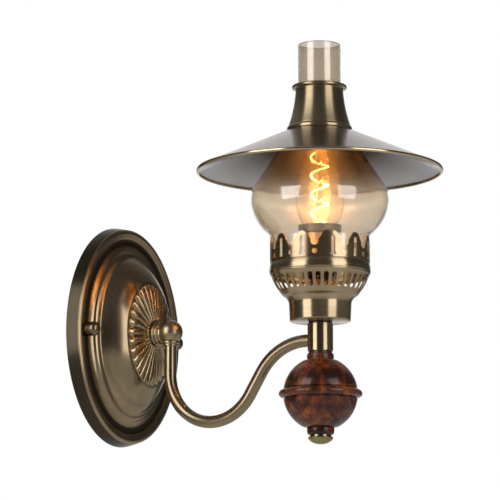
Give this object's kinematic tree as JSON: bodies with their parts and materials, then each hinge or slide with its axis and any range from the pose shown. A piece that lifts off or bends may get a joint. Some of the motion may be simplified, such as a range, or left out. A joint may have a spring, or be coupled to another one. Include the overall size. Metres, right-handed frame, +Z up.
{
  "type": "wall sconce",
  "caption": "Oil lamp style wall sconce: oval plate, gooseneck arm, wooden ball, slotted burner cup, punched gallery, glass chimney and conical shade.",
  "frame": {"origin": "centre of the wall plate's back, in the plane of the wall, level with the ball of the arm", "axes": "+Z up, +Y into the wall, so that the lamp stands out of the wall along -Y"},
  "size_m": [0.2346, 0.3523, 0.3824],
  "materials": {
    "antique_brass": "brushed antique bronze",
    "dark_brass": "satin, dark",
    "polished_brass": "polished",
    "shade_metal": "brushed antique bronze",
    "zinc_steel": "zinc plated",
    "block_plastic": "moulded",
    "lacquered_wood": "gloss lacquer over stain",
    "porcelain": "glazed",
    "contact_brass": "plain",
    "live_sleeve": "insulated, brown",
    "neutral_sleeve": "insulated, blue",
    "earth_sleeve": "insulated, green",
    "bulb_glass": "clear",
    "cap_metal": "plain",
    "cap_insulator": "vitrified black",
    "filament_wire": "lit when in use",
    "amber_glass": "clear, champagne tint"
  },
  "bodies": {
    "lamp": {"wall_plate": "antique_brass", "rosette": "antique_brass", "boss_collar": "antique_brass", "arm_ball": "antique_brass", "arm_tube": "antique_brass", "stem_tube": "antique_brass", "burner_cup": "antique_brass", "gallery_crown": "antique_brass", "stem_washer": "dark_brass", "holder_cap": "dark_brass", "holder_body": "dark_brass", "holder_ring": "dark_brass", "mounting_strap": "zinc_steel", "strap_studs": "zinc_steel", "earth_screw": "zinc_steel", "entry_nipple": "zinc_steel", "lock_washer": "zinc_steel", "nipple_nut": "zinc_steel", "stem_top_plug": "zinc_steel", "stem_bottom_plug": "zinc_steel", "tie_rod": "zinc_steel", "holder_nipple": "zinc_steel", "cup_washer": "zinc_steel", "cup_nut": "zinc_steel", "block_screws": "zinc_steel", "terminal_screws": "zinc_steel", "terminal_block": "block_plastic", "wood_ball": "lacquered_wood", "holder_insulator": "porcelain", "screw_shell": "contact_brass", "centre_contact": "contact_brass", "live_wire": "live_sleeve", "neutral_wire": "neutral_sleeve", "earth_wire": "earth_sleeve"},
    "chimney": {"chimney": "amber_glass"},
    "shade": {"shade_brim": "shade_metal", "shade_collar": "shade_metal"},
    "bulb": {"bulb_envelope": "bulb_glass", "bulb_cap": "cap_metal", "bulb_insulator": "cap_insulator", "bulb_contact": "contact_brass", "filament_stem": "bulb_glass", "filament_supports": "filament_wire", "filament": "filament_wire"},
    "left_cap_nut": {"left_cap_nut": "dark_brass"},
    "right_cap_nut": {"right_cap_nut": "dark_brass"},
    "finial": {"finial": "polished_brass"}
  },
  "joints": [
    {"name": "chimney_lift", "type": "slide", "parent": "lamp", "child": "chimney", "axis": [0, 0, 1], "range_m": [0, 0.13]},
    {"name": "shade_lift", "type": "slide", "parent": "chimney", "child": "shade", "axis": [0, 0, 1], "range_m": [0, 0.1]},
    {"name": "bulb_turn", "type": "hinge", "parent": "lamp", "child": "bulb", "pos_m": [0, -0.235, 0.1], "axis": [0, 0, 1], "continuous": true},
    {"name": "left_nut_turn", "type": "hinge", "parent": "lamp", "child": "left_cap_nut", "pos_m": [-0.06875, -0.015, 0], "axis": [0, 1, 0], "continuous": true},
    {"name": "right_nut_turn", "type": "hinge", "parent": "lamp", "child": "right_cap_nut", "pos_m": [0.06875, -0.015, 0], "axis": [0, 1, 0], "continuous": true},
    {"name": "finial_turn", "type": "hinge", "parent": "lamp", "child": "finial", "pos_m": [0, -0.235, -0.112], "axis": [0, 0, 1], "continuous": true}
  ]
}
